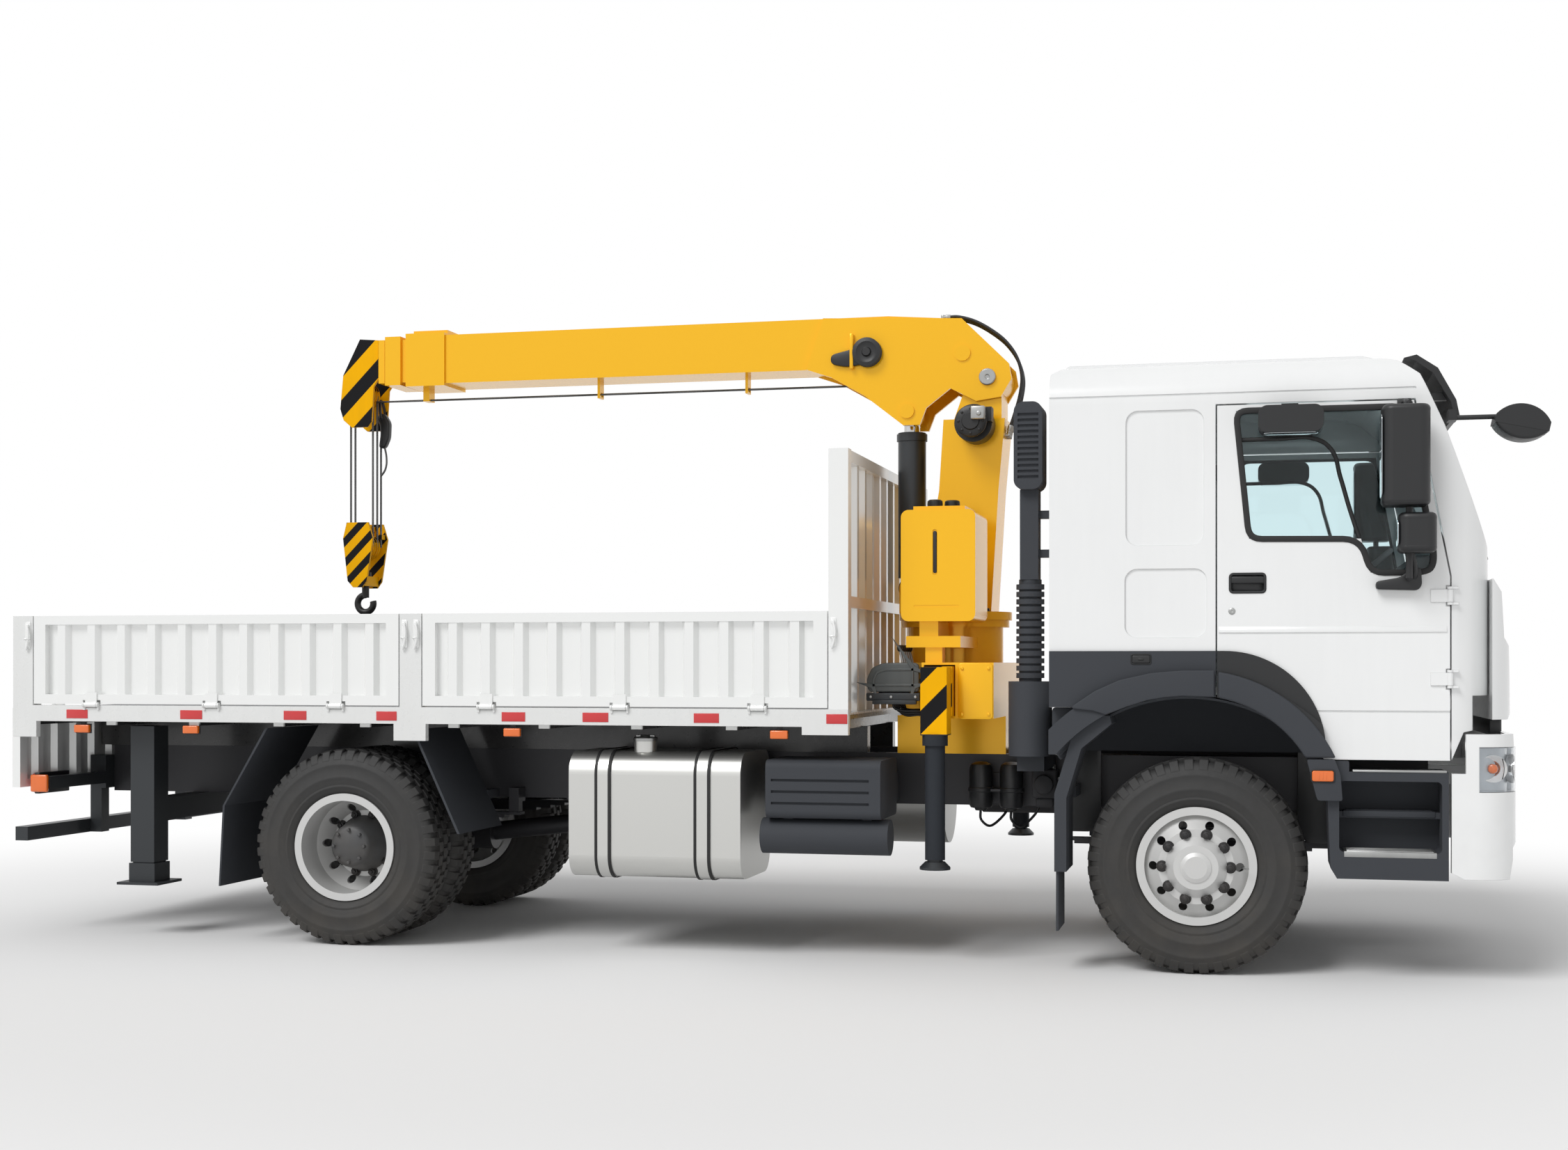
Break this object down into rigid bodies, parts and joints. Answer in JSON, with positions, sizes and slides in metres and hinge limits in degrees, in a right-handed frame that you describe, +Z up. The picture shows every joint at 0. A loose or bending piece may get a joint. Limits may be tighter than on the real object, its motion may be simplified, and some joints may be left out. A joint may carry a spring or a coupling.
{
  "type": "flatbed truck with telescopic loader crane",
  "caption": "Cab-over flatbed truck with drop sides and a slewing telescopic crane with outriggers behind the cab.",
  "frame": {"origin": "on the ground under the middle of the overall length", "axes": "+X to the front of the truck, +Y to its left, +Z up"},
  "size_m": [8.3559, 2.99, 3.57],
  "materials": {
    "white_paint": "gloss",
    "crane_yellow": "gloss",
    "frame_black": "satin",
    "leg_grey": "satin",
    "cast_grey": "matte",
    "tank_aluminium": "brushed",
    "dark_plastic": "matte",
    "silencer_steel": "satin",
    "lamp_lens": "gloss",
    "glass": "gloss",
    "cabin_plastic": "matte",
    "seat_cloth": "matte",
    "tyre": "matte",
    "rim_silver": "satin",
    "rod_chrome": "polished",
    "rope_steel": "satin",
    "hook_steel": "satin"
  },
  "bodies": {
    "chassis": {"frame_rails": "frame_black", "front_axle": "cast_grey", "rear_axle": "cast_grey", "engine": "cast_grey", "fuel_tank": "tank_aluminium", "battery_box": "dark_plastic", "silencer": "silencer_steel", "flatbed": "white_paint", "headboard": "white_paint", "bumper": "white_paint", "lamps": "lamp_lens", "cab_shell": "white_paint", "cab_front": "white_paint", "windscreen": "glass", "cab_interior": "cabin_plastic", "seats": "seat_cloth", "fenders": "dark_plastic", "snorkel": "dark_plastic", "sun_visor": "dark_plastic", "crane_base": "crane_yellow", "oil_tank": "crane_yellow", "rear_stabilizer": "leg_grey"},
    "steer_right": {"knuckle_right": "cast_grey"},
    "steer_left": {"knuckle_left": "cast_grey"},
    "wheel_front_right": {"tyre_front_right": "tyre", "rim_front_right": "rim_silver"},
    "wheel_front_left": {"tyre_front_left": "tyre", "rim_front_left": "rim_silver"},
    "wheels_rear_right": {"tyres_rear_right": "tyre", "rims_rear_right": "rim_silver"},
    "wheels_rear_left": {"tyres_rear_left": "tyre", "rims_rear_left": "rim_silver"},
    "door_r": {"door_right": "white_paint", "door_glass_right": "glass", "door_fittings_right": "dark_plastic"},
    "door_l": {"door_left": "white_paint", "door_glass_left": "glass", "door_fittings_left": "dark_plastic"},
    "board_rear_right": {"side_rear_right": "white_paint"},
    "board_front_right": {"side_front_right": "white_paint"},
    "board_rear_left": {"side_rear_left": "white_paint"},
    "board_front_left": {"side_front_left": "white_paint"},
    "tail_board": {"tail_gate": "white_paint"},
    "slewing_column": {"column": "crane_yellow", "winch": "frame_black"},
    "boom": {"boom_base": "crane_yellow"},
    "boom_2": {"boom_section_2": "crane_yellow"},
    "boom_3": {"boom_section_3": "crane_yellow"},
    "boom_4": {"boom_head": "crane_yellow"},
    "cylinder": {"lift_barrel": "leg_grey"},
    "cylinder_rod": {"lift_rod": "rod_chrome"},
    "rope_falls": {"hoist_ropes": "rope_steel"},
    "block": {"hook_block": "crane_yellow"},
    "load_hook": {"hook": "hook_steel"},
    "beam_right": {"outrigger_right": "crane_yellow"},
    "beam_left": {"outrigger_left": "crane_yellow"},
    "jack_foot_right": {"jack_right": "leg_grey"},
    "jack_foot_left": {"jack_left": "leg_grey"},
    "leg_right": {"rear_leg_right": "leg_grey"},
    "leg_left": {"rear_leg_left": "leg_grey"}
  },
  "joints": [
    {"name": "steering_right", "type": "hinge", "parent": "chassis", "child": "steer_right", "pos_m": [2.522, -0.88, 0.5425], "axis": [0, 0, 1], "range_deg": [-35, 35]},
    {"name": "steering_left", "type": "hinge", "parent": "chassis", "child": "steer_left", "pos_m": [2.522, 0.88, 0.5425], "axis": [0, 0, 1], "range_deg": [-35, 35]},
    {"name": "spin_front_right", "type": "hinge", "parent": "steer_right", "child": "wheel_front_right", "pos_m": [2.522, -1.015, 0.5425], "axis": [0, 1, 0], "continuous": true},
    {"name": "spin_front_left", "type": "hinge", "parent": "steer_left", "child": "wheel_front_left", "pos_m": [2.522, 1.015, 0.5425], "axis": [0, 1, 0], "continuous": true},
    {"name": "spin_rear_right", "type": "hinge", "parent": "chassis", "child": "wheels_rear_right", "pos_m": [-2.078, -1.068, 0.5425], "axis": [0, 1, 0], "continuous": true},
    {"name": "spin_rear_left", "type": "hinge", "parent": "chassis", "child": "wheels_rear_left", "pos_m": [-2.078, 1.068, 0.5425], "axis": [0, 1, 0], "continuous": true},
    {"name": "door_right_swing", "type": "hinge", "parent": "chassis", "child": "door_r", "pos_m": [3.718, -1.249, 1.68], "axis": [0, 0, 1], "range_deg": [0, 70]},
    {"name": "door_left_swing", "type": "hinge", "parent": "chassis", "child": "door_l", "pos_m": [3.718, 1.249, 1.68], "axis": [0, 0, -1], "range_deg": [0, 70]},
    {"name": "board_rear_right_drop", "type": "hinge", "parent": "chassis", "child": "board_rear_right", "pos_m": [-2.851, -1.258, 1.322], "axis": [1, 0, 0], "range_deg": [0, 175]},
    {"name": "board_rear_left_drop", "type": "hinge", "parent": "chassis", "child": "board_rear_left", "pos_m": [-2.851, 1.258, 1.322], "axis": [-1, 0, 0], "range_deg": [0, 175]},
    {"name": "board_front_right_drop", "type": "hinge", "parent": "chassis", "child": "board_front_right", "pos_m": [-0.465, -1.258, 1.322], "axis": [1, 0, 0], "range_deg": [0, 175]},
    {"name": "board_front_left_drop", "type": "hinge", "parent": "chassis", "child": "board_front_left", "pos_m": [-0.465, 1.258, 1.322], "axis": [-1, 0, 0], "range_deg": [0, 175]},
    {"name": "tail_gate_swing", "type": "hinge", "parent": "chassis", "child": "tail_board", "pos_m": [-4.118, 0, 1.304], "axis": [0, 1, 0], "range_deg": [0, 180]},
    {"name": "slew", "type": "hinge", "parent": "chassis", "child": "slewing_column", "pos_m": [1.142, 0, 1.8], "axis": [0, 0, 1], "continuous": true},
    {"name": "luff", "type": "hinge", "parent": "slewing_column", "child": "boom", "pos_m": [1.347, 0, 3.162], "axis": [0, 1, 0], "range_deg": [0, 75]},
    {"name": "telescope", "type": "slide", "parent": "boom", "child": "boom_2", "axis": [-1, 0, 0], "range_m": [0, 2.3]},
    {"name": "telescope_3", "type": "slide", "parent": "boom_2", "child": "boom_3", "axis": [-1, 0, 0], "range_m": [0, 2.3]},
    {"name": "telescope_4", "type": "slide", "parent": "boom_3", "child": "boom_4", "axis": [-1, 0, 0], "range_m": [0, 2.3]},
    {"name": "cylinder_tilt", "type": "hinge", "parent": "slewing_column", "child": "cylinder", "pos_m": [0.889, 0, 1.985], "axis": [0, 1, 0], "range_deg": [0, 6.12]},
    {"name": "cylinder_stroke", "type": "slide", "parent": "cylinder", "child": "cylinder_rod", "axis": [0, 0, 1], "range_m": [0, 0.5831]},
    {"name": "rope_hang", "type": "hinge", "parent": "boom_4", "child": "rope_falls", "pos_m": [-2.518, 0, 3.2], "axis": [0, 1, 0], "range_deg": [-75, 0]},
    {"name": "hoist", "type": "slide", "parent": "rope_falls", "child": "block", "axis": [0, 0, 1], "range_m": [-0.5, 0.24], "deforming": ["hoist_ropes"]},
    {"name": "hook_swivel", "type": "hinge", "parent": "block", "child": "load_hook", "pos_m": [-2.518, 0, 2.02], "axis": [0, 0, 1], "continuous": true},
    {"name": "outrigger_right_slide", "type": "slide", "parent": "chassis", "child": "beam_right", "axis": [0, -1, 0], "range_m": [0, 1.3]},
    {"name": "outrigger_left_slide", "type": "slide", "parent": "chassis", "child": "beam_left", "axis": [0, 1, 0], "range_m": [0, 1.3]},
    {"name": "jack_right_drop", "type": "slide", "parent": "beam_right", "child": "jack_foot_right", "axis": [0, 0, -1], "range_m": [0, 0.48]},
    {"name": "jack_left_drop", "type": "slide", "parent": "beam_left", "child": "jack_foot_left", "axis": [0, 0, -1], "range_m": [0, 0.48]},
    {"name": "leg_right_drop", "type": "slide", "parent": "chassis", "child": "leg_right", "axis": [0, 0, -1], "range_m": [0, 0.28]},
    {"name": "leg_left_drop", "type": "slide", "parent": "chassis", "child": "leg_left", "axis": [0, 0, -1], "range_m": [0, 0.28]}
  ],
  "couplings": [
    {"joint": "steering_left", "follows": "steering_right", "ratio": 1},
    {"joint": "telescope_3", "follows": "telescope", "ratio": 1},
    {"joint": "telescope_4", "follows": "telescope", "ratio": 1},
    {"joint": "cylinder_tilt", "follows": "luff", "ratio": 0.081489},
    {"joint": "cylinder_stroke", "follows": "luff", "m_per_rad": 0.44506},
    {"joint": "rope_hang", "follows": "luff", "ratio": -1}
  ]
}
